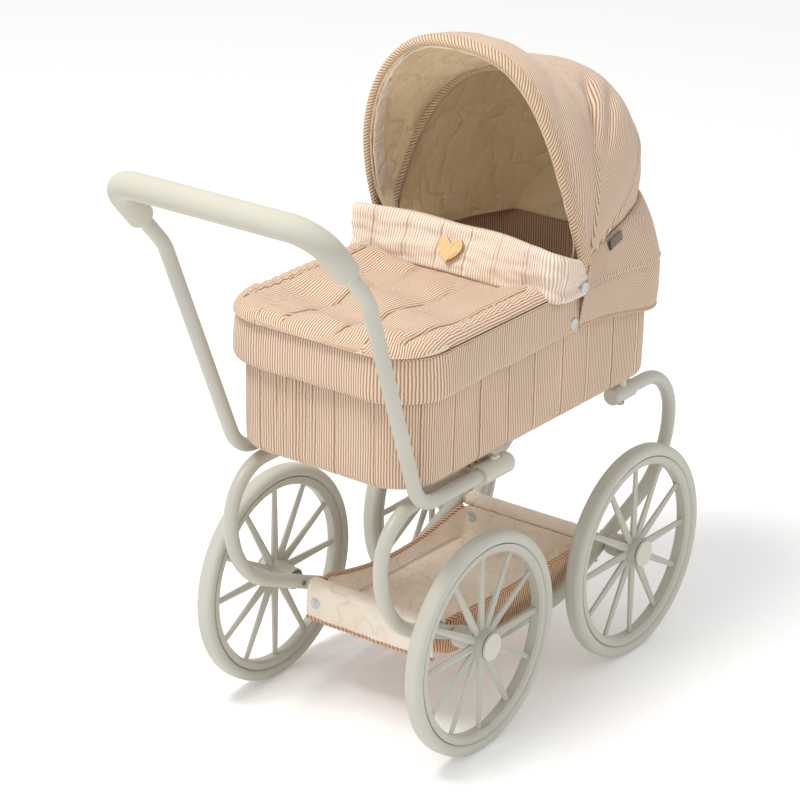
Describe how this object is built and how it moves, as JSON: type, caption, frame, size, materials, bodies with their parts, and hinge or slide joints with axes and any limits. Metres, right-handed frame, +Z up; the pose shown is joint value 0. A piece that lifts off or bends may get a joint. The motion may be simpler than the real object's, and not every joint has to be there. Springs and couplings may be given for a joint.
{
  "type": "doll's pram",
  "caption": "Classic doll's pram: bent-tube chassis, spoked wheels, fabric carrycot with quilted apron and folding hood, sling basket and a foam-gripped push handle.",
  "frame": {"origin": "on the floor under the middle of the whole pram, midway between the handle bar's and the front bends' furthest points", "axes": "+Z up, +Y towards the hood end, -Y towards whoever pushes it, +X to the pusher's right"},
  "size_m": [0.2776, 0.6305, 0.6483],
  "materials": {
    "frame_paint": "satin powder coat",
    "wheel_plastic": "moulded satin",
    "tyre": "pale matt rubber",
    "grip_foam": "matt foam",
    "button_plastic": "satin",
    "ring_plastic": "satin",
    "bush_plastic": "matt",
    "steel": "zinc plated",
    "bow_wire": "plastic bow",
    "stripe_fabric": "narrow striped cotton, cream and rose tan",
    "lining_fabric": "plain cotton, cream",
    "basket_fabric": "striped cotton with a plain lining",
    "snap": "satin enamel",
    "badge_wood": "plain pale wood",
    "board": "fibreboard",
    "label": "woven tape, blank"
  },
  "bodies": {
    "chassis": {"side_frame_right": "frame_paint", "rear_collar_right": "frame_paint", "front_sleeve_right": "frame_paint", "hinge_plate_right": "ring_plastic", "side_frame_left": "frame_paint", "rear_collar_left": "frame_paint", "front_sleeve_left": "frame_paint", "hinge_plate_left": "ring_plastic", "axle_rod_rear": "steel", "axle_sleeve_rear": "frame_paint", "axle_rod_front": "steel", "axle_sleeve_front": "frame_paint", "axle_washers": "steel", "axle_clips": "steel", "axle_screws": "steel", "collar_screws": "steel", "cot_pegs": "frame_paint", "cot_bolts": "steel", "basket": "basket_fabric", "basket_snaps": "snap", "cot_shell": "stripe_fabric", "floor_board": "board", "mattress": "lining_fabric", "cot_lining": "lining_fabric", "cot_ring": "ring_plastic", "apron": "stripe_fabric", "apron_tails": "stripe_fabric", "apron_flap": "stripe_fabric", "heart_badge": "badge_wood", "cover_snaps": "snap", "hood_wrap": "stripe_fabric", "label_tag": "label", "hood_back_panel": "stripe_fabric"},
    "rear_right_wheel": {"wheel_rear_right": "wheel_plastic", "tyre_rear_right": "tyre", "hub_bush_rear_right": "bush_plastic", "hub_cap_rear_right": "wheel_plastic"},
    "rear_left_wheel": {"wheel_rear_left": "wheel_plastic", "tyre_rear_left": "tyre", "hub_bush_rear_left": "bush_plastic", "hub_cap_rear_left": "wheel_plastic"},
    "front_right_wheel": {"wheel_front_right": "wheel_plastic", "tyre_front_right": "tyre", "hub_bush_front_right": "bush_plastic", "hub_cap_front_right": "wheel_plastic"},
    "front_left_wheel": {"wheel_front_left": "wheel_plastic", "tyre_front_left": "tyre", "hub_bush_front_left": "bush_plastic", "hub_cap_front_left": "wheel_plastic"},
    "handle": {"handle_tube": "frame_paint", "handle_grip": "grip_foam"},
    "lock_right": {"lock_button_right": "button_plastic"},
    "lock_left": {"lock_button_left": "button_plastic"},
    "hood_middle": {"hood_mid_bow": "bow_wire", "hood_front_panel": "stripe_fabric"},
    "hood_front": {"hood_front_bow": "bow_wire"}
  },
  "joints": [
    {"name": "rear_right_wheel_spin", "type": "hinge", "parent": "chassis", "child": "rear_right_wheel", "pos_m": [0.124, -0.06675, 0.11], "axis": [1, 0, 0], "continuous": true},
    {"name": "rear_left_wheel_spin", "type": "hinge", "parent": "chassis", "child": "rear_left_wheel", "pos_m": [-0.124, -0.06675, 0.11], "axis": [1, 0, 0], "continuous": true},
    {"name": "front_right_wheel_spin", "type": "hinge", "parent": "chassis", "child": "front_right_wheel", "pos_m": [0.124, 0.19325, 0.11], "axis": [1, 0, 0], "continuous": true},
    {"name": "front_left_wheel_spin", "type": "hinge", "parent": "chassis", "child": "front_left_wheel", "pos_m": [-0.124, 0.19325, 0.11], "axis": [1, 0, 0], "continuous": true},
    {"name": "handle_pull", "type": "slide", "parent": "chassis", "child": "handle", "axis": [0, -1, 0], "range_m": [0, 0.04]},
    {"name": "lock_press_right", "type": "slide", "parent": "chassis", "child": "lock_right", "axis": [0, 0, -1], "range_m": [0, 0.0012], "stiffness_N_per_m": 600, "springref_m": -0.001},
    {"name": "lock_press_left", "type": "slide", "parent": "chassis", "child": "lock_left", "axis": [0, 0, -1], "range_m": [0, 0.0012], "stiffness_N_per_m": 600, "springref_m": -0.001},
    {"name": "hood_mid_fold", "type": "hinge", "parent": "chassis", "child": "hood_middle", "pos_m": [0, 0.09425, 0.43], "axis": [-1, 0, 0], "range_deg": [0, 39], "deforming": ["hood_back_panel", "hood_wrap"]},
    {"name": "hood_front_fold", "type": "hinge", "parent": "hood_middle", "child": "hood_front", "pos_m": [0, 0.09425, 0.43], "axis": [-1, 0, 0], "range_deg": [0, 39], "deforming": ["hood_front_panel"]}
  ],
  "couplings": [
    {"joint": "hood_front_fold", "follows": "hood_mid_fold", "ratio": 1}
  ]
}
